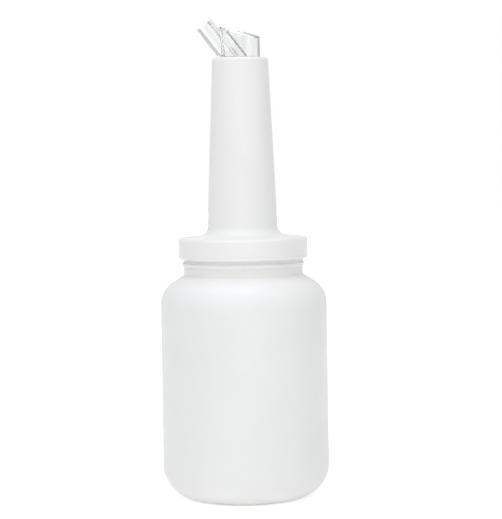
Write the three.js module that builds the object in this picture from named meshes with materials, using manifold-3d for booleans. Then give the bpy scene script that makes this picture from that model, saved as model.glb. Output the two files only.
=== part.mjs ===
// Store and pour bottle: a wide mouth jar, a tall screw-on neck and a clear pour spout.
// Millimetres, +Z up. The origin is the centre of the base, on the surface the jar stands on.
// The spout leans towards -X.

import * as THREE from 'three';
import { mergeVertices, toCreasedNormals } from 'three/addons/utils/BufferGeometryUtils.js';
import Module from 'manifold-3d';

const wasm = await Module();
wasm.setup();

// Jar: a blow-moulded half gallon body
const jarRadius = 60.8;
const jarWall = 1.4;
const jarFloor = 2.2;
const baseRounding = 24;
const standRingWidth = 5.5;
const pushUpHeight = 3.5;
const pushUpRun = 6;
const shoulderTop = 163;
const shoulderSlope = 31.6;
const shoulderRounding = 20;
const shoulderRootRounding = 1.2;

// Jar finish: the threaded mouth of the jar, 89 mm over its thread
const finishRadius = 43.5;
const finishWall = 1.9;
const finishHeight = 23.2;
const lipRounding = 0.5;
const beadRise = 7.6;
const beadHeight = 3.6;
const beadDepth = 1;
const beadLand = 2;

// Thread: one start, right hand, the same pitch on the jar and in the collar
const threadPitch = 5.08;
const threadDepth = 1;
const threadRootWidth = 2.4;
const threadCrestWidth = 1;
const threadLipRoom = 2.2;
const threadRunIn = 30;
const jarThreadTurns = 1.4;
const collarThreadTurns = 1.15;
const collarThreadRoom = 2.7;
const threadCrestClearance = 0.4;
const threadRootClearance = 0.3;
const threadFlankClearance = 0.36;

// Gasket: a flat ring between the jar's lip and the flange
const gasketThickness = 1.2;
const gasketWidth = 4.7;
const gasketSideClearance = 0.5;
const seatClearance = 0.3;

// Neck: a tapered tube, its flange and its screw collar in one moulding
const collarWall = 2.2;
const collarDepth = 13.5;
const collarLipChamfer = 0.8;
const collarGrooveRise = 2.4;
const collarGrooveWidth = 1;
const collarGrooveDepth = 0.25;
const collarShoulderRounding = 2.3;
const flangeThickness = 2;
const flangeRise = 2;
const neckHeight = 132.2;
const neckTaper = 2.47;
const neckWall = 1.8;
const neckRootRounding = 7;
const neckRimRounding = 2.6;
const neckRimWidth = 5.45;
const neckRimThickness = 1.9;
const neckRimChamfer = 0.4;

// Socket: a sleeve that hangs inside the neck's rim and holds the spout's plug
const sleeveWall = 1.4;
const sleeveLedge = 2.1;
const sleeveLedgeThickness = 1.6;

// Spout: a clear hollow cap with a slanted roof, a leaning pour tube and a vent beside it
const spoutRadius = 14.5;
const spoutWall = 1.3;
const spoutBoreClearance = 0.3;
const spoutHeight = 14.7;
const roofSlope = 15.3;
const plugDepth = 16;
const plugRelief = 0.3;
const plugLeadIn = 0.8;
const tubeRadius = 6.55;
const tubeBoreRadius = 4.1;
const tubeBoreOffset = 0.95;
const tubeLean = 37.3;
const tubeLowerEdge = 28;
const tubeFootDrop = 1.85;
const tubeUndersideRise = 0.7;
const ventRadius = 3.5;
const ventBoreRadius = 2.4;
const ventOffset = 6.5;

// Spout seals: two rings in the plug's grooves
const sealCord = 1.5;
const sealClearance = 0.3;
const sealSpacing = 6.5;
const lowerSealRise = 4.4;

// Facets and cuts
const arcSag = 0.2;
const cutOverrun = 0.5;
const roundSteps = 52;
const threadStepsPerTurn = 48;
const spoutSteps = 44;
const tubeSteps = 28;
const sealSteps = 36;
const sealSectionSteps = 6;
const creaseAngle = 35;
const sharedEdgeShare = 0.5;
const freeEdgeShare = 0.98;

// Heights that follow from the sizes above
const lipHeight = shoulderTop + finishHeight;
const gasketBottom = lipHeight + seatClearance;
const flangeUnderside = gasketBottom + gasketThickness + seatClearance;
const flangeTop = flangeUnderside + flangeThickness;
const collarBottom = flangeUnderside - collarDepth;
const rimHeight = flangeUnderside + neckHeight;
const plugBottom = rimHeight - plugDepth;

// Radii that follow from the sizes above
const collarInnerRadius = finishRadius + threadDepth + threadCrestClearance;
const collarRadius = collarInnerRadius + collarWall;
const collarCrestRadius = finishRadius + threadRootClearance;
const socketRadius = spoutRadius + spoutBoreClearance;
const neckTopRadius = socketRadius + neckRimWidth;

const radians = THREE.MathUtils.degToRad;
const tangent = (degrees) => Math.tan(radians(degrees));

// A corner of an outline: its distance from the axis, its height and the radius that rounds it.
function corner(distance, height, rounding = 0) {
  return { point: new THREE.Vector2(distance, height), rounding };
}

// The straight edge from a corner to its neighbour, and how much of it a rounding may use.
function edgeFrom(at, neighbour) {
  const along = neighbour.point.clone().sub(at.point);
  const share = neighbour.rounding > 0 ? sharedEdgeShare : freeEdgeShare;
  return { direction: along.clone().normalize(), room: along.length() * share };
}

// The points of an arc that rounds a corner between its two neighbours.
function roundedCorner(before, at, after) {
  const back = edgeFrom(at, before);
  const ahead = edgeFrom(at, after);
  const halfAngle = Math.acos(back.direction.dot(ahead.direction)) / 2;
  const reach = Math.min(at.rounding / Math.tan(halfAngle), back.room, ahead.room);
  const radius = reach * Math.tan(halfAngle);
  const start = at.point.clone().addScaledVector(back.direction, reach);
  const end = at.point.clone().addScaledVector(ahead.direction, reach);
  const inwards = back.direction.clone().add(ahead.direction).normalize();
  const centre = at.point.clone().addScaledVector(inwards, radius / Math.sin(halfAngle));
  const sweep = Math.PI - 2 * halfAngle;
  const steps = Math.ceil(sweep / (2 * Math.acos(1 - Math.min(arcSag / radius, 1))));
  const turn = start.clone().sub(centre).cross(end.clone().sub(centre)) > 0 ? 1 : -1;
  const points = [];
  for (let step = 0; step <= steps; step += 1) {
    points.push(start.clone().rotateAround(centre, (turn * sweep * step) / steps));
  }
  return points;
}

// An outline through corners. It closes on itself, or starts and ends on the axis.
function outline(corners, closes) {
  const points = [];
  corners.forEach((at, index) => {
    const before = corners[(index + corners.length - 1) % corners.length];
    const after = corners[(index + 1) % corners.length];
    const rounded = at.rounding > 0 ? roundedCorner(before, at, after) : [at.point];
    points.push(...rounded);
  });
  if (closes) points.push(points[0].clone());
  return points;
}

// Whether a closed mesh's faces point inwards, which makes its signed volume negative.
function facesPointIn(positions, index) {
  const a = new THREE.Vector3();
  const b = new THREE.Vector3();
  const c = new THREE.Vector3();
  let sum = 0;
  for (let i = 0; i < index.length; i += 3) {
    a.fromArray(positions, index[i] * 3);
    b.fromArray(positions, index[i + 1] * 3);
    c.fromArray(positions, index[i + 2] * 3);
    sum += a.dot(b.cross(c));
  }
  return sum < 0;
}

// A closed geometry as a solid that can be joined and cut.
function solidOf(geometry) {
  const bare = geometry.clone();
  bare.deleteAttribute('normal');
  bare.deleteAttribute('uv');
  const merged = mergeVertices(bare);
  const positions = merged.getAttribute('position').array;
  const corners = merged.getIndex().array;
  const index = [];
  for (let i = 0; i < corners.length; i += 3) {
    const [a, b, c] = corners.slice(i, i + 3);
    if (a !== b && b !== c && c !== a) index.push(a, b, c);
  }
  if (facesPointIn(positions, index)) index.reverse();
  const mesh = new wasm.Mesh({
    numProp: 3,
    vertProperties: new Float32Array(positions),
    triVerts: new Uint32Array(index),
  });
  return new wasm.Manifold(mesh);
}

// A solid as a named mesh in its own material.
function namedMesh(name, solid, material) {
  const { vertProperties, triVerts } = solid.getMesh();
  const geometry = new THREE.BufferGeometry();
  geometry.setAttribute('position', new THREE.BufferAttribute(vertProperties, 3));
  geometry.setIndex(new THREE.BufferAttribute(triVerts, 1));
  const mesh = new THREE.Mesh(toCreasedNormals(geometry, radians(creaseAngle)), material);
  mesh.name = name;
  return mesh;
}

// An outline turned round the Z axis.
function turned(corners, closes) {
  return solidOf(new THREE.LatheGeometry(outline(corners, closes), roundSteps).rotateX(Math.PI / 2));
}

// A cylinder that stands on the Z axis from one height to another.
function upright(radius, bottom, top, steps = spoutSteps) {
  const geometry = new THREE.CylinderGeometry(radius, radius, top - bottom, steps);
  return solidOf(geometry.rotateX(Math.PI / 2).translate(0, 0, (top + bottom) / 2));
}

// A thread's ridge. It winds up from its lower end at firstTurn, and fades into its wall at both ends.
function threadRidge({ rootRadius, crestRadius, heightAtZero, firstTurn, turns }) {
  const steps = Math.ceil(turns * threadStepsPerTurn);
  const inwards = Math.sign(crestRadius - rootRadius);
  const buriedRadius = rootRadius - inwards * cutOverrun;
  const positions = [];
  for (let step = 0; step <= steps; step += 1) {
    const turn = firstTurn + (turns * step) / steps;
    const fromEnd = (Math.min(step, steps - step) / steps) * turns * 360;
    const depth = Math.min(fromEnd / threadRunIn, 1) * (crestRadius - rootRadius);
    const height = heightAtZero + turn * threadPitch;
    const section = [
      [buriedRadius, -threadRootWidth / 2],
      [rootRadius, -threadRootWidth / 2],
      [rootRadius + depth, -threadCrestWidth / 2],
      [rootRadius + depth, threadCrestWidth / 2],
      [rootRadius, threadRootWidth / 2],
      [buriedRadius, threadRootWidth / 2],
    ];
    section.forEach(([radius, rise]) => {
      const angle = turn * 2 * Math.PI;
      positions.push(radius * Math.cos(angle), radius * Math.sin(angle), height + rise);
    });
  }
  return solidOf(ridgeGeometry(positions, steps));
}

// Faces between the sections of a ridge, and one fan over each of its ends.
function ridgeGeometry(positions, steps) {
  const sides = positions.length / 3 / (steps + 1);
  const index = [];
  for (let step = 0; step < steps; step += 1) {
    for (let side = 0; side < sides; side += 1) {
      const a = step * sides + side;
      const b = step * sides + ((side + 1) % sides);
      index.push(a, b, a + sides, b, b + sides, a + sides);
    }
  }
  const last = steps * sides;
  for (let side = 1; side < sides - 1; side += 1) {
    index.push(0, side + 1, side, last, last + side, last + side + 1);
  }
  const geometry = new THREE.BufferGeometry();
  geometry.setAttribute('position', new THREE.Float32BufferAttribute(positions, 3));
  geometry.setIndex(index);
  return geometry;
}

// The jar's outline, from the middle of its underside, up its outside and down its inside.
function jarCorners() {
  const ringOuter = jarRadius - baseRounding;
  const ringInner = ringOuter - standRingWidth;
  const pushUpRadius = ringInner - pushUpRun;
  const innerRadius = jarRadius - jarWall;
  const mouthRadius = finishRadius - finishWall;
  const innerDrop = jarWall / Math.cos(radians(shoulderSlope));
  const slopeHeight = (radius) => shoulderTop - (radius - finishRadius) * tangent(shoulderSlope);
  const beadMiddle = shoulderTop + beadRise;
  return [
    corner(0, pushUpHeight),
    corner(pushUpRadius, pushUpHeight, pushUpHeight),
    corner(ringInner, 0),
    corner(jarRadius, 0, baseRounding),
    corner(jarRadius, slopeHeight(jarRadius), shoulderRounding),
    corner(finishRadius, shoulderTop, shoulderRootRounding),
    corner(finishRadius, beadMiddle - beadHeight / 2),
    corner(finishRadius + beadDepth, beadMiddle - beadLand / 2),
    corner(finishRadius + beadDepth, beadMiddle + beadLand / 2),
    corner(finishRadius, beadMiddle + beadHeight / 2),
    corner(finishRadius, lipHeight, lipRounding),
    corner(mouthRadius, lipHeight, lipRounding),
    corner(mouthRadius, slopeHeight(mouthRadius) - innerDrop, finishWall),
    corner(innerRadius, slopeHeight(innerRadius) - innerDrop, shoulderRounding - jarWall),
    corner(innerRadius, jarFloor, baseRounding - jarFloor),
    corner(ringInner, jarFloor),
    corner(pushUpRadius, pushUpHeight + jarFloor, pushUpHeight),
    corner(0, pushUpHeight + jarFloor),
  ];
}

// The jar's thread ends a little below its lip. Turn 0 is the thread's upper end.
const jarThreadTopHeight = lipHeight - threadLipRoom;

// The jar's shell and its thread in one solid.
function jar() {
  const ridge = threadRidge({
    rootRadius: finishRadius,
    crestRadius: finishRadius + threadDepth,
    heightAtZero: jarThreadTopHeight,
    firstTurn: -jarThreadTurns,
    turns: jarThreadTurns,
  });
  return turned(jarCorners(), false).add(ridge);
}

// A flat ring on the jar's lip.
function jarGasket() {
  const outer = collarInnerRadius - gasketSideClearance;
  const inner = outer - gasketWidth;
  const top = gasketBottom + gasketThickness;
  return turned([
    corner(outer, gasketBottom),
    corner(outer, top),
    corner(inner, top),
    corner(inner, gasketBottom),
  ], true);
}

// The neck's outline, from the collar's lower edge, over its outside, and back through the socket.
function neckCorners() {
  const coneRadius = (height) => neckTopRadius + (rimHeight - height) * tangent(neckTaper);
  const innerCone = (height) => coneRadius(height) - neckWall;
  const rootHeight = flangeTop + flangeRise;
  const sleeveBottom = plugBottom - seatClearance - sleeveLedgeThickness;
  const sleeveRadius = socketRadius + sleeveWall;
  const rimUnderside = rimHeight - neckRimThickness;
  const grooveHeight = collarBottom + collarGrooveRise;
  return [
    corner(collarInnerRadius, collarBottom),
    corner(collarRadius - collarLipChamfer, collarBottom),
    corner(collarRadius, collarBottom + collarLipChamfer),
    corner(collarRadius, grooveHeight - collarGrooveWidth / 2),
    corner(collarRadius - collarGrooveDepth, grooveHeight),
    corner(collarRadius, grooveHeight + collarGrooveWidth / 2),
    corner(collarRadius, flangeTop, collarShoulderRounding),
    corner(coneRadius(rootHeight), rootHeight, neckRootRounding),
    corner(coneRadius(rimHeight), rimHeight, neckRimRounding),
    corner(socketRadius + neckRimChamfer, rimHeight),
    corner(socketRadius, rimHeight - neckRimChamfer),
    corner(socketRadius, plugBottom - seatClearance),
    corner(socketRadius - sleeveLedge, plugBottom - seatClearance),
    corner(socketRadius - sleeveLedge, sleeveBottom),
    corner(sleeveRadius, sleeveBottom),
    corner(sleeveRadius, rimUnderside),
    corner(innerCone(rimUnderside), rimUnderside),
    corner(innerCone(flangeUnderside), flangeUnderside, neckRootRounding + flangeThickness),
    corner(collarInnerRadius, flangeUnderside),
  ];
}

// The width of a thread's ridge at half its depth, which is also half of two ridges side by side.
function flankWidth() {
  return (threadRootWidth + threadCrestWidth) / 2;
}

// The tapered tube, the flange, the collar and the collar's thread in one solid.
function neck() {
  const drop = flankWidth() + threadFlankClearance;
  const heightAtZero = jarThreadTopHeight - drop;
  const lowest = collarBottom + collarThreadRoom;
  const ridge = threadRidge({
    rootRadius: collarInnerRadius,
    crestRadius: collarCrestRadius,
    heightAtZero,
    firstTurn: (lowest - heightAtZero) / threadPitch,
    turns: collarThreadTurns,
  });
  return turned(neckCorners(), true).add(ridge);
}

// The pour tube's axis. Its lower edge meets the line of the cap's side a little below the rim, but the
// tube is cut flat above the rim. Its bore lies off its axis, and leaves the vent the thicker wall.
const alongTube = new THREE.Vector2(-Math.sin(radians(tubeLean)), Math.cos(radians(tubeLean)));
const acrossTube = new THREE.Vector2(Math.cos(radians(tubeLean)), Math.sin(radians(tubeLean)));
const tubeFoot = new THREE.Vector2(-spoutRadius, rimHeight - tubeFootDrop);
const tubeMouth = tubeFoot.clone()
  .addScaledVector(alongTube, tubeLowerEdge)
  .addScaledVector(acrossTube, tubeRadius);

// A cylinder beside the pour tube's axis that runs far down, and past the mouth by an overrun.
function leaningRod(radius, offset, overrun) {
  const length = 2 * (tubeLowerEdge + plugDepth);
  const geometry = new THREE.CylinderGeometry(radius, radius, length, tubeSteps);
  geometry.translate(0, overrun - length / 2, 0);
  geometry.rotateZ(radians(tubeLean)).rotateX(Math.PI / 2);
  const end = tubeMouth.clone().addScaledVector(acrossTube, offset);
  return solidOf(geometry.translate(end.x, 0, end.y));
}

// Everything above the slanted roof, or above a plane a little below it.
function aboveRoof(below) {
  const size = 4 * (spoutRadius + spoutHeight + tubeLowerEdge);
  const geometry = new THREE.BoxGeometry(size, size, size).translate(0, 0, size / 2);
  geometry.rotateY(radians(roofSlope));
  return solidOf(geometry.translate(spoutRadius, 0, rimHeight + spoutHeight - below));
}

// Everything below a height.
function belowHeight(height) {
  const size = 4 * (spoutRadius + plugDepth + tubeLowerEdge);
  return solidOf(new THREE.BoxGeometry(size, size, size).translate(0, 0, height - size / 2));
}

// The outside of the cap and its plug, cut by the roof.
function capBlock() {
  const plugRadius = spoutRadius - plugRelief;
  const high = tubeMouth.y + tubeRadius;
  const cap = upright(spoutRadius, rimHeight, high);
  const barrel = upright(plugRadius, plugBottom + plugLeadIn, rimHeight + cutOverrun);
  const lead = new THREE.CylinderGeometry(plugRadius, plugRadius - plugLeadIn, plugLeadIn, spoutSteps);
  const tip = solidOf(lead.rotateX(Math.PI / 2).translate(0, 0, plugBottom + plugLeadIn / 2));
  return cap.add(barrel).add(tip).subtract(aboveRoof(0));
}

// The bottom of a seal's groove, measured from the axis.
const grooveRadius = spoutRadius - sealCord - sealClearance;
const sealHeights = [plugBottom + lowerSealRise, plugBottom + lowerSealRise + sealSpacing];

// A ring that cuts a seal's groove into the plug.
function groove(height) {
  const half = sealCord / 2 + sealClearance;
  const outer = upright(spoutRadius + cutOverrun, height - half, height + half);
  return outer.subtract(upright(grooveRadius, height - sealCord, height + sealCord));
}

// The hollow of the cap: wide under the roof and narrower inside the plug.
function capHollow() {
  const inner = spoutRadius - spoutWall;
  const room = upright(inner, rimHeight, tubeMouth.y).subtract(aboveRoof(spoutWall));
  return room.add(upright(grooveRadius - spoutWall, plugBottom - cutOverrun, rimHeight + cutOverrun));
}

// The clear spout: cap, plug, pour tube and vent in one solid.
function spout() {
  const underside = belowHeight(rimHeight + tubeUndersideRise);
  const vent = leaningRod(ventRadius, ventOffset, 0).subtract(aboveRoof(0));
  const tubes = leaningRod(tubeRadius, 0, 0).add(vent).subtract(underside);
  const bore = leaningRod(tubeBoreRadius, -tubeBoreOffset, cutOverrun).subtract(belowHeight(rimHeight));
  const ventBore = leaningRod(ventBoreRadius, ventOffset, 0).subtract(belowHeight(rimHeight));
  let body = capBlock().subtract(capHollow()).add(tubes);
  body = body.subtract(bore).subtract(ventBore.subtract(aboveRoof(-cutOverrun)));
  sealHeights.forEach((height) => {
    body = body.subtract(groove(height));
  });
  return body;
}

// A round seal ring in one of the plug's grooves.
function spoutSeal(height) {
  const middle = spoutRadius - sealCord / 2;
  const ring = new THREE.TorusGeometry(middle, sealCord / 2, sealSectionSteps, sealSteps);
  return solidOf(ring.translate(0, 0, height));
}

// A plain or clear plastic finish.
function finish(color, roughness, opacity = 1) {
  return new THREE.MeshStandardMaterial({
    color, roughness, metalness: 0, opacity, transparent: opacity < 1,
  });
}

const milkyWhite = finish(0xf2f4f4, 0.42);
const warmWhite = finish(0xf4f3ef, 0.38);
const clearPlastic = finish(0xeef2f4, 0.05, 0.35);
const paleRubber = finish(0xe4e4de, 0.6);

const bottle = new THREE.Group();
bottle.name = 'store_and_pour_bottle';
bottle.add(namedMesh('jar', jar(), milkyWhite));
bottle.add(namedMesh('jar_gasket', jarGasket(), paleRubber));
bottle.add(namedMesh('neck', neck(), warmWhite));
bottle.add(namedMesh('spout', spout(), clearPlastic));
bottle.add(namedMesh('spout_seal_lower', spoutSeal(sealHeights[0]), paleRubber));
bottle.add(namedMesh('spout_seal_upper', spoutSeal(sealHeights[1]), paleRubber));

export default bottle;
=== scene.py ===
import math

import bmesh
import bpy
import numpy as np
from mathutils import Matrix, Vector


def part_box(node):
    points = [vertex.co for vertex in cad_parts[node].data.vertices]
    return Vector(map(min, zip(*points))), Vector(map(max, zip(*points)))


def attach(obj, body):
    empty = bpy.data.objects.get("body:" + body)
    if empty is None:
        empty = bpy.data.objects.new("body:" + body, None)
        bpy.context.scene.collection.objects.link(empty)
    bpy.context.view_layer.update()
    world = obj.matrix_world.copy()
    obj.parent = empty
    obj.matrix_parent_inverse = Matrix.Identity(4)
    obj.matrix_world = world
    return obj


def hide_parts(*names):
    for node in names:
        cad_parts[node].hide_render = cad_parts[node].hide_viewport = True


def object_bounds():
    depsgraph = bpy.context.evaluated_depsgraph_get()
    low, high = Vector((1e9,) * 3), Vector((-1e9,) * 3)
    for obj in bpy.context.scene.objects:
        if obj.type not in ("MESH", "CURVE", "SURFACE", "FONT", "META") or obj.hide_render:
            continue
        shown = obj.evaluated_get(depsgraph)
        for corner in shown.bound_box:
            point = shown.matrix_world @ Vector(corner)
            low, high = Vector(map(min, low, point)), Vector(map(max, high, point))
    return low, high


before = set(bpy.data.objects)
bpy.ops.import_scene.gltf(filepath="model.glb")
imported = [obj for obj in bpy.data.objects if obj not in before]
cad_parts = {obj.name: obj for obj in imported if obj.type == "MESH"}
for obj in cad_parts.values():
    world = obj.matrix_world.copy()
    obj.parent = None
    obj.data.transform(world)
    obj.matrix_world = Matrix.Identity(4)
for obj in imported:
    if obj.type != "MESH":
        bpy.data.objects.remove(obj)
cad_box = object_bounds()

# The view. A long lens 1.4 m in front of the bottle, level with its neck, looks slightly down. The
# camera is rolled about a degree clockwise, so the bottle leans a touch to the left in the frame.
image_height = 519
focal_pixels = 1918.7
camera_place = Vector((0.00571, -1.3971, 0.2574))
camera_down = math.radians(3.44)
camera_roll = math.radians(0.886)

camera_data = bpy.data.cameras.new("camera")
camera_data.sensor_fit = "VERTICAL"
camera_data.sensor_height = 36
camera_data.lens = focal_pixels * camera_data.sensor_height / image_height
camera = bpy.data.objects.new("camera", camera_data)
bpy.context.scene.collection.objects.link(camera)
bpy.context.scene.camera = camera
look = Matrix.Rotation(math.radians(90) - camera_down, 4, "X")
camera.matrix_world = Matrix.Translation(camera_place) @ look @ Matrix.Rotation(-camera_roll, 4, "Z")
bpy.context.scene.view_settings.view_transform = "Standard"

# Light turns many times inside the milky jar and inside the thin walls of the clear spout.
light_paths = bpy.context.scene.cycles
light_paths.diffuse_bounces = 16
light_paths.glossy_bounces = 16
light_paths.transmission_bounces = 16
light_paths.max_bounces = 24


# The studio. A pale floor that fades into a white surround, a large soft lamp high in front to the left,
# one above, and weaker ones from the right and from low in front. The surround gives even light.
def soft_lamp(name, place, aim, size, power):
    """A square lamp at a place, turned to face a point."""
    data = bpy.data.lights.new(name, "AREA")
    data.size = size
    data.energy = power
    lamp = bpy.data.objects.new(name, data)
    lamp.location = place
    lamp.rotation_euler = (Vector(aim) - Vector(place)).to_track_quat("-Z", "Y").to_euler()
    bpy.context.scene.collection.objects.link(lamp)
    return lamp


def effect_group(name, inputs, outputs):
    """An empty shader group with named inputs and outputs, and its two end nodes."""
    group = bpy.data.node_groups.new(name, "ShaderNodeTree")
    for socket, kind, value in inputs:
        made = group.interface.new_socket(name=socket, in_out="INPUT", socket_type=kind)
        made.default_value = value
    for socket, kind in outputs:
        group.interface.new_socket(name=socket, in_out="OUTPUT", socket_type=kind)
    start = group.nodes.new("NodeGroupInput")
    end = group.nodes.new("NodeGroupOutput")
    return group, start, end


def add_node(tree, kind, **settings):
    """A node with its settings. A setting that is not the node's own names one of its inputs."""
    node = tree.nodes.new("ShaderNode" + kind)
    for setting, value in settings.items():
        if hasattr(node, setting):
            setattr(node, setting, value)
        else:
            node.inputs[setting.replace("_", " ")].default_value = value
    return node


def join(tree, *links):
    """Link pairs of sockets, each written as (node, output, node, input)."""
    for source, output, target, socket in links:
        tree.links.new(source.outputs[output], target.inputs[socket])


bottle_middle = (cad_box[0] + cad_box[1]) / 2
soft_lamp("key_lamp", (-0.8, -1.6, 1.3), bottle_middle, 0.9, 7)
soft_lamp("fill_lamp", (1.3, -0.9, 0.9), bottle_middle, 1.1, 2.5)
soft_lamp("top_lamp", (-0.1, -0.35, 1.5), bottle_middle, 0.9, 7)
soft_lamp("low_lamp", (0.1, -1.3, 0.05), (0, 0, 0.02), 0.5, 2.4)


# What passes through clear plastic sees a surround a little greyer than the camera does. Two dark flags
# stand in it to the right of the view, one low and one high, and the same two to the right of the
# opposite view. They draw the edges of clear walls as thin dark lines.
def band(tree, source, output, rise, fall):
    """Nodes that give 1 where a value lies between two soft limits and 0 elsewhere. Returns the last."""
    above = add_node(tree, "MapRange", From_Min=rise[0], From_Max=rise[1])
    below = add_node(tree, "MapRange", From_Min=fall[0], From_Max=fall[1], To_Min=1, To_Max=0)
    both = add_node(tree, "Math", operation="MULTIPLY")
    join(tree, (source, output, above, "Value"), (source, output, below, "Value"),
         (above, 0, both, 0), (below, 0, both, 1))
    return both


clear_level = 0.85
flags_split = (0.12, 0.18)
dark_flags, flags_in, flags_out = effect_group(
    "dark_flags",
    [("Direction", "NodeSocketVector", (0, 1, 0)), ("Surround", "NodeSocketFloat", clear_level),
     ("Low Flag", "NodeSocketFloat", 0.0), ("High Flag", "NodeSocketFloat", 0.0)],
    [("Level", "NodeSocketFloat")],
)
flags_way = add_node(dark_flags, "SeparateXYZ")
flags_ahead = add_node(dark_flags, "Math", operation="SIGN")
flags_right = add_node(dark_flags, "Math", operation="MULTIPLY")
join(dark_flags, (flags_in, "Direction", flags_way, 0), (flags_way, "Y", flags_ahead, 0),
     (flags_way, "X", flags_right, 0), (flags_ahead, 0, flags_right, 1))
low_flag = add_node(dark_flags, "Math", operation="MULTIPLY")
high_flag = add_node(dark_flags, "Math", operation="MULTIPLY")
low_shade = add_node(dark_flags, "MapRange", To_Min=1)
high_shade = add_node(dark_flags, "MapRange", To_Min=1)
both_shades = add_node(dark_flags, "Math", operation="MULTIPLY")
flags_level = add_node(dark_flags, "Math", operation="MULTIPLY")
join(
    dark_flags,
    (band(dark_flags, flags_right, 0, (0.20, 0.26), (0.54, 0.58)), 0, low_flag, 0),
    (band(dark_flags, flags_way, "Z", (-0.16, -0.10), flags_split), 0, low_flag, 1),
    (band(dark_flags, flags_right, 0, (0.25, 0.35), (0.64, 0.70)), 0, high_flag, 0),
    (band(dark_flags, flags_way, "Z", flags_split, (0.60, 0.70)), 0, high_flag, 1),
    (low_flag, 0, low_shade, "Value"), (flags_in, "Low Flag", low_shade, "To Max"),
    (high_flag, 0, high_shade, "Value"), (flags_in, "High Flag", high_shade, "To Max"),
    (low_shade, 0, both_shades, 0), (high_shade, 0, both_shades, 1), (both_shades, 0, flags_level, 0),
    (flags_in, "Surround", flags_level, 1), (flags_level, 0, flags_out, "Level"),
)

world = bpy.data.worlds.new("white_surround")
bpy.context.scene.world = world
world.use_nodes = True
surround = world.node_tree
surround.nodes.clear()
surround_out = add_node(surround, "OutputWorld")
surround_light = add_node(surround, "Background", Color=(0.98, 0.99, 1.0, 1), Strength=0.55)
surround_seen = add_node(surround, "Background", Color=(1, 1, 1, 1))
surround_mix = add_node(surround, "MixShader")
surround_rays = add_node(surround, "LightPath")
surround_sum = add_node(surround, "Math", operation="ADD", use_clamp=True)
surround_place = add_node(surround, "TexCoord")
surround_flags = add_node(surround, "Group", node_tree=dark_flags)
surround_level = add_node(surround, "Mix", data_type="FLOAT")
surround_level.inputs[2].default_value = 1
join(
    surround,
    (surround_rays, "Is Camera Ray", surround_sum, 0), (surround_rays, "Is Glossy Ray", surround_sum, 1),
    (surround_sum, 0, surround_mix, "Fac"), (surround_place, "Generated", surround_flags, "Direction"),
    (surround_rays, "Is Transmission Ray", surround_level, 0), (surround_flags, "Level", surround_level, 3),
    (surround_level, 0, surround_seen, "Strength"), (surround_light, 0, surround_mix, 1),
    (surround_seen, 0, surround_mix, 2), (surround_mix, 0, surround_out, "Surface"),
)

# The floor. Its own glow, which only the camera and mirrored rays see, fades it into the surround.
floor_reach = 6
floor_mesh = bpy.data.meshes.new("floor")
corners = [(-floor_reach, -floor_reach, 0), (floor_reach, -floor_reach, 0)]
corners += [(floor_reach, floor_reach, 0), (-floor_reach, floor_reach, 0)]
floor_mesh.from_pydata(corners, [], [(0, 1, 2, 3)])
floor = bpy.data.objects.new("floor", floor_mesh)
bpy.context.scene.collection.objects.link(floor)

floor_paint = bpy.data.materials.new("pale_floor")
floor_paint.use_nodes = True
paint = floor_paint.node_tree
paint.nodes.clear()
paint_out = add_node(paint, "OutputMaterial")
paint_matt = add_node(paint, "BsdfDiffuse")
paint_white = add_node(paint, "Emission", Color=(1, 1, 1, 1))
paint_add = add_node(paint, "AddShader")
paint_place = add_node(paint, "NewGeometry")
paint_reach = add_node(paint, "VectorMath", operation="LENGTH")
paint_fade = add_node(paint, "MapRange", interpolation_type="SMOOTHSTEP",
                      From_Min=0.1, From_Max=0.6, To_Min=0.4, To_Max=1)
paint_rays = add_node(paint, "LightPath")
paint_seen = add_node(paint, "Math", operation="ADD", use_clamp=True)
paint_glow = add_node(paint, "Math", operation="MULTIPLY")
join(
    paint,
    (paint_place, "Position", paint_reach, 0), (paint_reach, "Value", paint_fade, "Value"),
    (paint_rays, "Is Camera Ray", paint_seen, 0), (paint_rays, "Is Glossy Ray", paint_seen, 1),
    (paint_fade, 0, paint_glow, 0), (paint_seen, 0, paint_glow, 1),
    (paint_matt, 0, paint_add, 0), (paint_white, 0, paint_add, 1), (paint_add, 0, paint_out, "Surface"),
)

# Clear plastic sees the floor greyer too, and a darker strip lying on it, behind at the left. The strip is
# painted shade that only rays through clear plastic see, and it draws a dark line along the pour tube's left
# wall.
floor_color = (0.97, 0.965, 0.95, 1)
strip_shade_color = (0.64, 0.64, 0.63, 1)
paint_way = add_node(paint, "SeparateXYZ")
paint_shade_strip = add_node(paint, "Math", operation="MULTIPLY")
paint_open = add_node(paint, "MapRange", To_Min=clear_level, To_Max=0)
paint_clear = add_node(paint, "Mix", data_type="FLOAT")
paint_clear.inputs[2].default_value = 1
paint_level = add_node(paint, "Math", operation="MULTIPLY")
paint_dark = add_node(paint, "Math", operation="MULTIPLY")
paint_tone = add_node(paint, "Mix", data_type="RGBA")
paint_tone.inputs[6].default_value = floor_color
paint_tone.inputs[7].default_value = strip_shade_color
join(
    paint,
    (paint_shade_strip, 0, paint_dark, 0), (paint_rays, "Is Transmission Ray", paint_dark, 1),
    (paint_dark, 0, paint_tone, 0), (paint_tone, 2, paint_matt, "Color"),
    (paint_place, "Position", paint_way, 0),
    (band(paint, paint_way, "X", (-1.3, -1.2), (-0.34, -0.28)), 0, paint_shade_strip, 0),
    (band(paint, paint_way, "Y", (0.2, 0.3), (4, 5)), 0, paint_shade_strip, 1),
    (paint_shade_strip, 0, paint_open, "Value"), (paint_rays, "Is Transmission Ray", paint_clear, 0),
    (paint_open, 0, paint_clear, 3), (paint_glow, 0, paint_level, 0), (paint_clear, 0, paint_level, 1),
    (paint_level, 0, paint_white, "Strength"),
)
floor_mesh.materials.append(floor_paint)

# The jar. A wide-mouth half gallon body, blow moulded in milky polyethylene: thin walls, a round
# shoulder, a bead and a coarse thread on the mouth, and a pushed-up base inside a flat standing ring.
mm = 0.001


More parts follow.
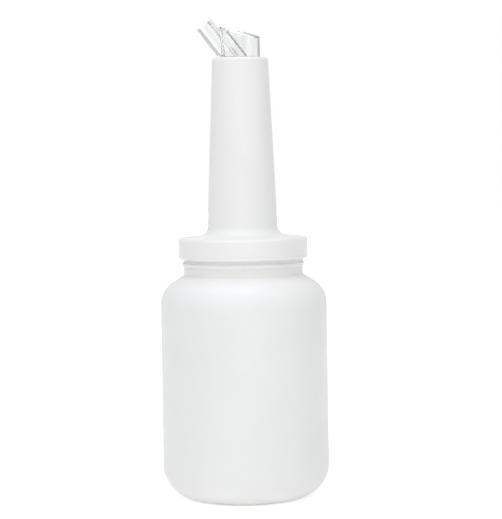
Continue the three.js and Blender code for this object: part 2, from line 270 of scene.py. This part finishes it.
def smooth_outline(corners, closed, turn_step=math.radians(5)):
    """The points of an outline through corners (radius, height, rounding), rounded with arcs."""
    points = []
    for i, (r, z, rounding) in enumerate(corners):
        at = Vector((r, z))
        if rounding == 0:
            points.append(at)
            continue
        back = Vector(corners[i - 1][:2]) - at
        ahead = Vector(corners[(i + 1) % len(corners)][:2]) - at
        half = back.angle(ahead) / 2
        reach = min(rounding / math.tan(half), back.length * 0.98, ahead.length * 0.98)
        start = at + back.normalized() * reach
        end = at + ahead.normalized() * reach
        centre = at + (back.normalized() + ahead.normalized()).normalized() * reach / math.cos(half)
        sweep = math.pi - 2 * half
        steps = max(3, math.ceil(sweep / turn_step))
        spin = (start - centre).angle_signed(end - centre)
        for k in range(steps + 1):
            arm = start - centre
            arm.rotate(Matrix.Rotation(-spin * k / steps, 2))
            points.append(centre + arm)
    return points + ([points[0].copy()] if closed else [])


def filled(points, spacing):
    """The same outline with points added, so that no step is longer than the spacing."""
    result = [points[0]]
    for a, b in zip(points, points[1:]):
        count = max(1, math.ceil((b - a).length / spacing))
        result += [a.lerp(b, k / count) for k in range(1, count + 1)]
    return result


def revolve(name, points, angles, shape=None):
    """A closed shell turned round Z. shape(angle, radius, height) may change a point's radius."""
    mesh = bmesh.new()
    rings = []
    for point in points:
        if point.x < 1e-7:
            rings.append([mesh.verts.new((0, 0, point.y))])
            continue
        ring = []
        for angle in angles:
            radius = shape(angle, point.x, point.y) if shape else point.x
            ring.append(mesh.verts.new((radius * math.cos(angle), radius * math.sin(angle), point.y)))
        rings.append(ring)
    if (points[0] - points[-1]).length < 1e-7:
        for vertex in rings.pop():
            mesh.verts.remove(vertex)
        rings.append(rings[0])
    for low, high in zip(rings, rings[1:]):
        for k in range(len(angles)):
            a, b = low[k % len(low)], low[(k + 1) % len(low)]
            c, d = high[(k + 1) % len(high)], high[k % len(high)]
            mesh.faces.new(list(dict.fromkeys((a, b, c, d))))
    bmesh.ops.recalc_face_normals(mesh, faces=mesh.faces)
    data = bpy.data.meshes.new(name)
    mesh.to_mesh(data)
    mesh.free()
    data.shade_smooth()
    piece = bpy.data.objects.new(name, data)
    bpy.context.scene.collection.objects.link(piece)
    return piece


def even_turn(count):
    """Evenly spaced angles of one full turn."""
    return [2 * math.pi * k / count for k in range(count)]


thread_pitch = 5.08 * mm
thread_root = 2.4 * mm
thread_crest = 1.0 * mm
thread_run_in = 30 / 360
thread_row = 0.2 * mm


def thread_rise(angle, height, top, first_turn, turns):
    """How high a thread's ridge stands at a place on its wall, from 0 to 1."""
    turn = angle / (2 * math.pi)
    whole = round((height - top) / thread_pitch - turn)
    turn += whole
    away = abs(height - top - turn * thread_pitch)
    ridge = (thread_root / 2 - away) / (thread_root / 2 - thread_crest / 2)
    fade = min(turn - first_turn, first_turn + turns - turn) / thread_run_in
    level = max(0, min(ridge, 1)) * max(0, min(fade, 1))
    return level * level * (3 - 2 * level)


jar_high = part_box("jar")[1]
jar_radius = jar_high.x
jar_wall = 1.4 * mm
jar_floor = 2.2 * mm
base_rounding = 24 * mm
ring_outer = jar_radius - base_rounding
ring_inner = ring_outer - 5.5 * mm
push_up = 3.5 * mm
push_up_radius = ring_inner - 6 * mm
shoulder_top = 163 * mm
shoulder_slope = math.tan(math.radians(31.6))
shoulder_rounding = 20 * mm
finish_radius = 43.5 * mm
mouth_radius = finish_radius - 1.9 * mm
bead_middle = shoulder_top + 7.6 * mm
bead_half = 1.8 * mm
bead_land = 1 * mm
bead_radius = finish_radius + 1 * mm
lip_height = jar_high.z
jar_thread_top = lip_height - 2.2 * mm
jar_thread_turns = 1.4
jar_thread_depth = 1 * mm


def slope_height(radius, drop=0):
    """The height of the shoulder's cone at a radius."""
    return shoulder_top - drop - (radius - finish_radius) * shoulder_slope


inner_radius = jar_radius - jar_wall
inner_drop = jar_wall * math.hypot(1, shoulder_slope)
jar_outline = smooth_outline([
    (0, push_up, 0),
    (push_up_radius, push_up, 6 * mm),
    (ring_inner, 0, 1.5 * mm),
    (jar_radius, 0, base_rounding),
    (jar_radius, slope_height(jar_radius), shoulder_rounding),
    (finish_radius, shoulder_top, 1.2 * mm),
    (finish_radius, bead_middle - bead_half, 0.3 * mm),
    (bead_radius, bead_middle - bead_land, 0.8 * mm),
    (bead_radius, bead_middle + bead_land, 0.8 * mm),
    (finish_radius, bead_middle + bead_half, 0.3 * mm),
    (finish_radius, lip_height, 0.5 * mm),
    (mouth_radius, lip_height, 0.5 * mm),
    (mouth_radius, slope_height(mouth_radius, inner_drop), 2 * mm),
    (inner_radius, slope_height(inner_radius, inner_drop), shoulder_rounding - jar_wall),
    (inner_radius, jar_floor, base_rounding - jar_floor),
    (ring_inner, jar_floor, 1.5 * mm),
    (push_up_radius, push_up + jar_floor, 6 * mm),
    (0, push_up + jar_floor, 0),
], closed=False)


def jar_shape(angle, radius, height):
    """The thread on the outside of the mouth."""
    if abs(radius - finish_radius) > 0.01 * mm or height < bead_middle + bead_half:
        return radius
    rise = thread_rise(angle, height, jar_thread_top, -jar_thread_turns, jar_thread_turns)
    return radius + rise * jar_thread_depth


finish_part = [p for p in jar_outline if p.y > bead_middle + 1.7 * mm and p.x > mouth_radius + 1 * mm]
first = jar_outline.index(finish_part[0])
last = jar_outline.index(finish_part[-1])
jar_outline = jar_outline[:first] + filled(finish_part, thread_row) + jar_outline[last + 1:]
jar_skin = revolve("jar_shell", jar_outline, even_turn(256), jar_shape)


# Moulded plastic as it really is: faint clouds where the wall is thicker, a soft orange peel from the
# mould, and fine scuffs that dull the gloss. Every plastic and rubber piece of the bottle shares it.
moulded, moulded_in, moulded_out = effect_group(
    "moulded_plastic",
    [
        ("Color", "NodeSocketColor", (0.9, 0.9, 0.9, 1)),
        ("Cloud Color", "NodeSocketColor", (0.8, 0.8, 0.8, 1)),
        ("Cloud Size", "NodeSocketFloat", 20.0),
        ("Roughness", "NodeSocketFloat", 0.4),
        ("Scuff", "NodeSocketFloat", 0.1),
        ("Peel", "NodeSocketFloat", 0.1),
        ("Peel Size", "NodeSocketFloat", 900.0),
    ],
    [("Color", "NodeSocketColor"), ("Roughness", "NodeSocketFloat"), ("Normal", "NodeSocketVector")],
)
place = add_node(moulded, "TexCoord")
cloud = add_node(moulded, "TexNoise", Detail=3)
cloud_mask = add_node(moulded, "MapRange", interpolation_type="SMOOTHSTEP", From_Min=0.35, From_Max=0.75)
tint = add_node(moulded, "Mix", data_type="RGBA")
scuff = add_node(moulded, "TexNoise", Scale=160, Detail=6, Roughness=0.7)
scuff_level = add_node(moulded, "Math", operation="MULTIPLY_ADD")
peel = add_node(moulded, "TexNoise", Detail=2)
peel_bump = add_node(moulded, "Bump", Distance=0.0002)
join(
    moulded,
    (place, "Object", cloud, "Vector"), (moulded_in, "Cloud Size", cloud, "Scale"),
    (cloud, "Fac", cloud_mask, "Value"), (cloud_mask, "Result", tint, "Factor"),
    (moulded_in, "Color", tint, 6), (moulded_in, "Cloud Color", tint, 7), (tint, 2, moulded_out, "Color"),
    (place, "Object", scuff, "Vector"), (scuff, "Fac", scuff_level, 0),
    (moulded_in, "Scuff", scuff_level, 1), (moulded_in, "Roughness", scuff_level, 2),
    (scuff_level, 0, moulded_out, "Roughness"),
    (place, "Object", peel, "Vector"), (moulded_in, "Peel Size", peel, "Scale"),
    (peel, "Fac", peel_bump, "Height"), (moulded_in, "Peel", peel_bump, "Strength"),
    (peel_bump, "Normal", moulded_out, "Normal"),
)


def plastic(name, finish, **shader):
    """A material of the moulded plastic group into one Principled shader, with their own values."""
    material = bpy.data.materials.new(name)
    material.use_nodes = True
    tree = material.node_tree
    surface = tree.nodes["Principled BSDF"]
    effect = add_node(tree, "Group", node_tree=moulded)
    for socket, value in finish.items():
        effect.inputs[socket].default_value = value
    for socket, value in shader.items():
        surface.inputs[socket.replace("_", " ")].default_value = value
    join(tree, (effect, "Color", surface, "Base Color"), (effect, "Roughness", surface, "Roughness"),
         (effect, "Normal", surface, "Normal"))
    return material


jar_plastic = plastic(
    "milky_polyethylene",
    {
        "Color": (0.905, 0.908, 0.905, 1), "Cloud Color": (0.878, 0.881, 0.877, 1), "Cloud Size": 18,
        "Roughness": 0.38, "Scuff": 0.12, "Peel": 0.12, "Peel Size": 500,
    },
    IOR=1.52, Subsurface_Weight=0.6, Subsurface_Radius=(1.0, 0.96, 0.9), Subsurface_Scale=4 * mm,
)

# From the shoulder to the bead the mouth is a little darker and warmer: painted shade where it lies under
# the collar's overhang, and partly the denser, thicker wall there.
jar_nodes = jar_plastic.node_tree
mouth_place = add_node(jar_nodes, "TexCoord")
mouth_way = add_node(jar_nodes, "SeparateXYZ")
collar_shade_tint = add_node(jar_nodes, "Mix", data_type="RGBA")
collar_shade_tint.inputs[7].default_value = (0.83, 0.815, 0.79, 1)
jar_finish = next(node for node in jar_nodes.nodes if node.bl_idname == "ShaderNodeGroup")
mouth_foot = (shoulder_top - 1 * mm, shoulder_top + 2 * mm)
mouth_head = (bead_middle + 0.8 * mm, bead_middle + 2 * mm)
collar_shade_mask = band(jar_nodes, mouth_way, "Z", mouth_foot, mouth_head)
join(
    jar_nodes,
    (mouth_place, "Object", mouth_way, 0),
    (collar_shade_mask, 0, collar_shade_tint, 0), (jar_finish, "Color", collar_shade_tint, 6),
    (collar_shade_tint, 2, jar_nodes.nodes["Principled BSDF"], "Base Color"),
)
jar_skin.data.materials.append(jar_plastic)
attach(jar_skin, "jar")
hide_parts("jar")

# The jar gasket. A flat ring cut from soft pale sheet. It lies loose on the jar's lip, and the flange
# presses on it when the collar is screwed down.
gasket_low, gasket_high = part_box("jar_gasket")
gasket_outer = gasket_high.x
gasket_width = 4.7 * mm
gasket_inner = gasket_outer - gasket_width
gasket_edge = 0.25 * mm
gasket_outline = smooth_outline([
    (gasket_outer, gasket_low.z, gasket_edge),
    (gasket_outer, gasket_high.z, gasket_edge),
    (gasket_inner, gasket_high.z, gasket_edge),
    (gasket_inner, gasket_low.z, gasket_edge),
], closed=True)
gasket_ring = revolve("jar_gasket_ring", gasket_outline, even_turn(160))
gasket_rubber = plastic(
    "gasket_sheet",
    {
        "Color": (0.80, 0.80, 0.77, 1), "Cloud Color": (0.72, 0.72, 0.68, 1), "Cloud Size": 60,
        "Roughness": 0.55, "Scuff": 0.15, "Peel": 0.3, "Peel Size": 1800,
    },
    IOR=1.42, Subsurface_Weight=0.3, Subsurface_Radius=(1.0, 0.95, 0.85), Subsurface_Scale=1 * mm,
)
gasket_ring.data.materials.append(gasket_rubber)
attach(gasket_ring, "gasket")
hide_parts("jar_gasket")

# The neck. A tapered tube, its flange and its screw collar, injection moulded together in a stiffer,
# warmer white plastic. The collar has a thread inside and a fine groove above its lower edge.
neck_low, neck_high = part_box("neck")
collar_radius = neck_high.x
collar_wall = 2.2 * mm
collar_inner = collar_radius - collar_wall
collar_bottom = neck_low.z
rim_height = neck_high.z
flange_under = collar_bottom + 13.5 * mm
flange_top = flange_under + 2 * mm
groove_height = collar_bottom + 2.4 * mm
groove_half = 0.5 * mm
groove_floor = collar_radius - 0.25 * mm
collar_lip = 0.8 * mm
socket_radius = 14.8 * mm
neck_top_radius = socket_radius + 5.45 * mm
neck_taper = math.tan(math.radians(2.47))
neck_wall = 1.8 * mm
rim_under = rim_height - 1.9 * mm
plug_bottom = rim_height - 16 * mm
ledge_top = plug_bottom - 0.3 * mm
ledge_under = ledge_top - 1.6 * mm
ledge_radius = socket_radius - 2.1 * mm
sleeve_radius = socket_radius + 1.4 * mm
rim_chamfer = 0.4 * mm
collar_thread_top = jar_thread_top - 1.7 * mm - 0.36 * mm
collar_thread_first = (collar_bottom + 2.7 * mm - collar_thread_top) / thread_pitch
collar_thread_turns = 1.15
collar_thread_depth = 1.1 * mm


def cone_radius(height, wall=0):
    """The neck's radius at a height, outside or a wall's thickness inside."""
    return neck_top_radius + (rim_height - height) * neck_taper - wall


neck_outline = smooth_outline([
    (collar_inner, collar_bottom, 0.25 * mm),
    (collar_radius - collar_lip, collar_bottom, 0.4 * mm),
    (collar_radius, collar_bottom + collar_lip, 0.5 * mm),
    (collar_radius, groove_height - groove_half, 0.2 * mm),
    (groove_floor, groove_height, 0.15 * mm),
    (collar_radius, groove_height + groove_half, 0.2 * mm),
    (collar_radius, flange_top, 2.3 * mm),
    (cone_radius(flange_top + 2 * mm), flange_top + 2 * mm, 7 * mm),
    (cone_radius(rim_height), rim_height, 2.6 * mm),
    (socket_radius + rim_chamfer, rim_height, 0.2 * mm),
    (socket_radius, rim_height - rim_chamfer, 0.2 * mm),
    (socket_radius, ledge_top, 0.3 * mm),
    (ledge_radius, ledge_top, 0.25 * mm),
    (ledge_radius, ledge_under, 0.25 * mm),
    (sleeve_radius, ledge_under, 0.4 * mm),
    (sleeve_radius, rim_under, 0.5 * mm),
    (cone_radius(rim_under, neck_wall), rim_under, 0.5 * mm),
    (cone_radius(flange_under, neck_wall), flange_under, 9 * mm),
    (collar_inner, flange_under, 0.6 * mm),
], closed=True)


def neck_shape(angle, radius, height):
    """The thread on the inside of the collar."""
    if abs(radius - collar_inner) > 0.01 * mm or height > flange_under - 0.7 * mm:
        return radius
    rise = thread_rise(angle, height, collar_thread_top, collar_thread_first, collar_thread_turns)
    return radius - rise * collar_thread_depth


neck_row = 6 * mm
neck_rows = []
for a, b in zip(neck_outline, neck_outline[1:]):
    on_thread = abs(a.x - collar_inner) < 0.01 * mm and abs(b.x - collar_inner) < 0.01 * mm
    neck_rows += filled([a, b], thread_row if on_thread else neck_row)[:-1]
neck_rows.append(neck_outline[-1])
neck_skin = revolve("neck_moulding", neck_rows, even_turn(240), neck_shape)
neck_plastic = plastic(
    "warm_white_plastic",
    {
        "Color": (0.815, 0.817, 0.815, 1), "Cloud Color": (0.79, 0.792, 0.788, 1), "Cloud Size": 22,
        "Roughness": 0.34, "Scuff": 0.1, "Peel": 0.08, "Peel Size": 700,
    },
    IOR=1.5, Subsurface_Weight=0.35, Subsurface_Radius=(1.0, 0.97, 0.92), Subsurface_Scale=2 * mm,
)
neck_skin.data.materials.append(neck_plastic)
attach(neck_skin, "neck")
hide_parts("neck")

# The spout. A hollow cap with a slanted roof, a plug that pushes into the neck, a leaning pour tube and
# a vent behind a flat web, injection moulded together in clear plastic. Its shape is a distance to its
# surface, in millimetres from the middle of the neck's rim, so the walls meet in soft moulded fillets.
cap_radius = 14.5
cap_wall = 1
cap_height = 14.7
cap_edge = 0.4
roof_slope = math.radians(15.3)
roof_normal = np.array([math.sin(roof_slope), 0, math.cos(roof_slope)])
plug_radius = cap_radius - 0.3
plug_depth = 16
plug_lead = 0.8
seal_cord = 1.5
seal_half = seal_cord / 2 + 0.3
seal_floor = cap_radius - seal_cord - 0.3
seal_heights = (-11.6, -5.1)
tube_radius = 6.55
tube_length = 28
tube_lean = math.radians(37.3)
tube_along = np.array([-math.sin(tube_lean), 0, math.cos(tube_lean)])
tube_across = np.array([math.cos(tube_lean), 0, math.sin(tube_lean)])
tube_mouth = np.array([-cap_radius, 0, -1.85]) + tube_along * tube_length + tube_across * tube_radius
tube_bottom = 0.7
bore_radius = 5
vent_radius = 4
vent_bore = 2.9
vent_offset = 7.2
web_middle = 4.2
web_half = 0.6
web_fillet = 0.4
outer_fillet = 0.4
inner_fillet = 0.35
roof_fillet = 1.6
groove_edge = 0.3
mouth_edge = 0.7
tube_vent_fillet = 1
above_all = 60


def joined(a, b, fillet):
    """The distance to two shapes together, with a fillet where they meet."""
    near = np.clip(0.5 + 0.5 * (b - a) / fillet, 0, 1)
    return b + (a - b) * near - fillet * near * (1 - near)


def shared(a, b, fillet):
    """The distance to what two shapes share, with a rounded edge where they cross."""
    return -joined(-a, -b, fillet)


def barrel(points, radius, low, high):
    """The distance to an upright cylinder round the Z axis."""
    side = np.hypot(points[:, 0], points[:, 1]) - radius
    end = np.maximum(low - points[:, 2], points[:, 2] - high)
    return np.minimum(np.maximum(side, end), 0) + np.hypot(np.maximum(side, 0), np.maximum(end, 0))


def rod(points, radius, offset):
    """The distance to an endless cylinder beside the pour tube's axis."""
    away = points - (tube_mouth + tube_across * offset)
    along = away @ tube_along
    return np.sqrt(np.maximum((away**2).sum(axis=1) - along**2, 0)) - radius


def spout_distance(points):
    """The distance to the spout's surface, negative inside the plastic."""
    height = points[:, 2]
    roof = (points - np.array([cap_radius, 0, cap_height])) @ roof_normal
    radius = np.hypot(points[:, 0], points[:, 1])
    plug = barrel(points, plug_radius, -plug_depth, cap_edge)
    plug = shared(plug, (radius - plug_radius + plug_lead - height - plug_depth) / math.sqrt(2), groove_edge)
    for middle in seal_heights:
        groove = np.maximum(seal_floor - radius, np.abs(height - middle) - seal_half)
        plug = shared(plug, -groove, groove_edge)
    outside = np.minimum(plug, shared(barrel(points, cap_radius, 0, above_all), roof, cap_edge * 2))
    room = shared(barrel(points, cap_radius - cap_wall, 0, above_all), roof + cap_wall, roof_fillet)
    room = joined(room, barrel(points, seal_floor - cap_wall, -plug_depth - 4, cap_edge), inner_fillet)
    shell = shared(outside, -room, inner_fillet)
    past_mouth = (points - tube_mouth) @ tube_along
    tube = shared(rod(points, tube_radius, 0), past_mouth, mouth_edge)
    vent = shared(rod(points, vent_radius, vent_offset), roof, cap_edge)
    tubes = shared(joined(tube, vent, tube_vent_fillet), tube_bottom - height, inner_fillet)
    body = joined(shell, tubes, outer_fillet)
    from_web = (points - tube_mouth) @ tube_across - web_middle
    bore = shared(rod(points, bore_radius, 0), from_web + web_half, web_fillet)
    vent_hole = np.maximum(rod(points, vent_bore, vent_offset), roof - 0.3)
    vent_hole = shared(vent_hole, web_half - from_web, web_fillet)
    return shared(body, -np.maximum(np.minimum(bore, vent_hole), -height), inner_fillet)


def slope_of(distance, points, step=0.01):
    """The direction in which a distance grows, at each point."""
    rows = []
    for axis in np.eye(3) * step:
        rows.append((distance(points + axis) - distance(points - axis)) / (2 * step))
    return np.stack(rows, axis=1)


def surface_net(distance, low, high, spacing):
    """A closed mesh of four-sided faces where a distance is zero, and its normals."""
    ticks = [np.arange(a, b + spacing, spacing) for a, b in zip(low, high)]
    shape = tuple(len(t) for t in ticks)
    grid = np.stack(np.meshgrid(*ticks, indexing="ij"), axis=-1)
    values = distance(grid.reshape(-1, 3)).reshape(shape)
    total = np.zeros([n - 1 for n in shape] + [3])
    count = np.zeros([n - 1 for n in shape])
    crossings = []
    for axis in range(3):
        a = np.moveaxis(values, axis, 0)[:-1]
        b = np.moveaxis(values, axis, 0)[1:]
        crossed = (a < 0) != (b < 0)
        share = np.where(crossed, a / np.where(crossed, a - b, 1), 0)
        at = np.moveaxis(grid, axis, 0)[:-1].copy()
        at[..., axis] += share * spacing
        crossings.append((np.moveaxis(crossed, 0, axis), np.moveaxis(a < 0, 0, axis)))
        at = np.moveaxis(at * crossed[..., None], 0, axis)
        hit = np.moveaxis(crossed, 0, axis).astype(float)
        others = [k for k in range(3) if k != axis]
        for first in (0, 1):
            for second in (0, 1):
                pick = [slice(None)] * 3
                pick[others[0]] = slice(first, shape[others[0]] - 1 + first)
                pick[others[1]] = slice(second, shape[others[1]] - 1 + second)
                total += at[tuple(pick)]
                count += hit[tuple(pick)]
    active = count > 0
    number = np.full(active.shape, -1)
    number[active] = np.arange(active.sum())
    points = total[active] / count[active][:, None]
    for _ in range(5):
        slope = slope_of(distance, points)
        shift = distance(points)[:, None] * slope / np.maximum((slope**2).sum(axis=1), 0.2)[:, None]
        points = points - np.clip(shift, -spacing / 2, spacing / 2)
    faces = []
    for axis in range(3):
        crossed, starts_inside = crossings[axis]
        u, v = [k for k in range(3) if k != axis]
        places = np.argwhere(crossed)
        inner = np.all((places[:, [u, v]] > 0) & (places[:, [u, v]] < np.array(shape)[[u, v]] - 1), axis=1)
        places = places[inner]
        quad = []
        for du, dv in ((1, 1), (0, 1), (0, 0), (1, 0)):
            cell = places.copy()
            cell[:, u] -= du
            cell[:, v] -= dv
            quad.append(number[tuple(cell.T)])
        quad = np.stack(quad, axis=1)
        turned = starts_inside[tuple(places.T)] == (axis == 1)
        quad[turned] = quad[turned][:, ::-1]
        faces.append(quad)
    return points, np.concatenate(faces), slope_of(distance, points)


net_low = (-33, -15.4, -16.8)
net_high = (15.4, 15.4, 32)
net_spacing = 0.35
net_points, net_faces, net_slope = surface_net(spout_distance, net_low, net_high, net_spacing)
rim_middle = np.array([0, 0, rim_height])
spout_mesh = bpy.data.meshes.new("spout_moulding")
spout_mesh.from_pydata((net_points * mm + rim_middle).tolist(), [], net_faces.tolist())
spout_mesh.validate()
spout_mesh.shade_smooth()
spout_mesh.normals_split_custom_set_from_vertices(
    (net_slope / np.linalg.norm(net_slope, axis=1)[:, None]).tolist()
)
spout_skin = bpy.data.objects.new("spout_moulding", spout_mesh)
bpy.context.scene.collection.objects.link(spout_skin)

clear_plastic = plastic(
    "clear_plastic",
    {
        "Color": (0.995, 0.998, 1.0, 1), "Cloud Color": (0.985, 0.99, 0.992, 1), "Cloud Size": 90,
        "Roughness": 0.015, "Scuff": 0.05, "Peel": 0.04, "Peel Size": 260,
    },
    IOR=1.57, Transmission_Weight=1.0,
)
spout_skin.data.materials.append(clear_plastic)
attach(spout_skin, "spout")
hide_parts("spout")

# The spout seals. Two round rings of pale silicone, stretched into the plug's grooves. They hold the
# spout by friction and turn with the neck when the spout is turned.
seal_rubber = plastic(
    "pale_silicone",
    {
        "Color": (0.78, 0.78, 0.75, 1), "Cloud Color": (0.70, 0.70, 0.66, 1), "Cloud Size": 80,
        "Roughness": 0.45, "Scuff": 0.1, "Peel": 0.1, "Peel Size": 1500,
    },
    IOR=1.41, Subsurface_Weight=0.5, Subsurface_Radius=(1.0, 0.95, 0.85), Subsurface_Scale=0.8 * mm,
)
for node in ("spout_seal_lower", "spout_seal_upper"):
    seal_low, seal_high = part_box(node)
    seal_middle = seal_high.x - seal_cord * mm / 2
    seal_height = (seal_low.z + seal_high.z) / 2
    section = [Vector((math.cos(a), math.sin(a))) * seal_cord * mm / 2 for a in even_turn(20)]
    section = [Vector((seal_middle, seal_height)) + s for s in section]
    section.append(section[0].copy())
    ring = revolve(node + "_ring", section, even_turn(128))
    ring.data.materials.append(seal_rubber)
    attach(ring, "spout_seals")
    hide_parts(node)
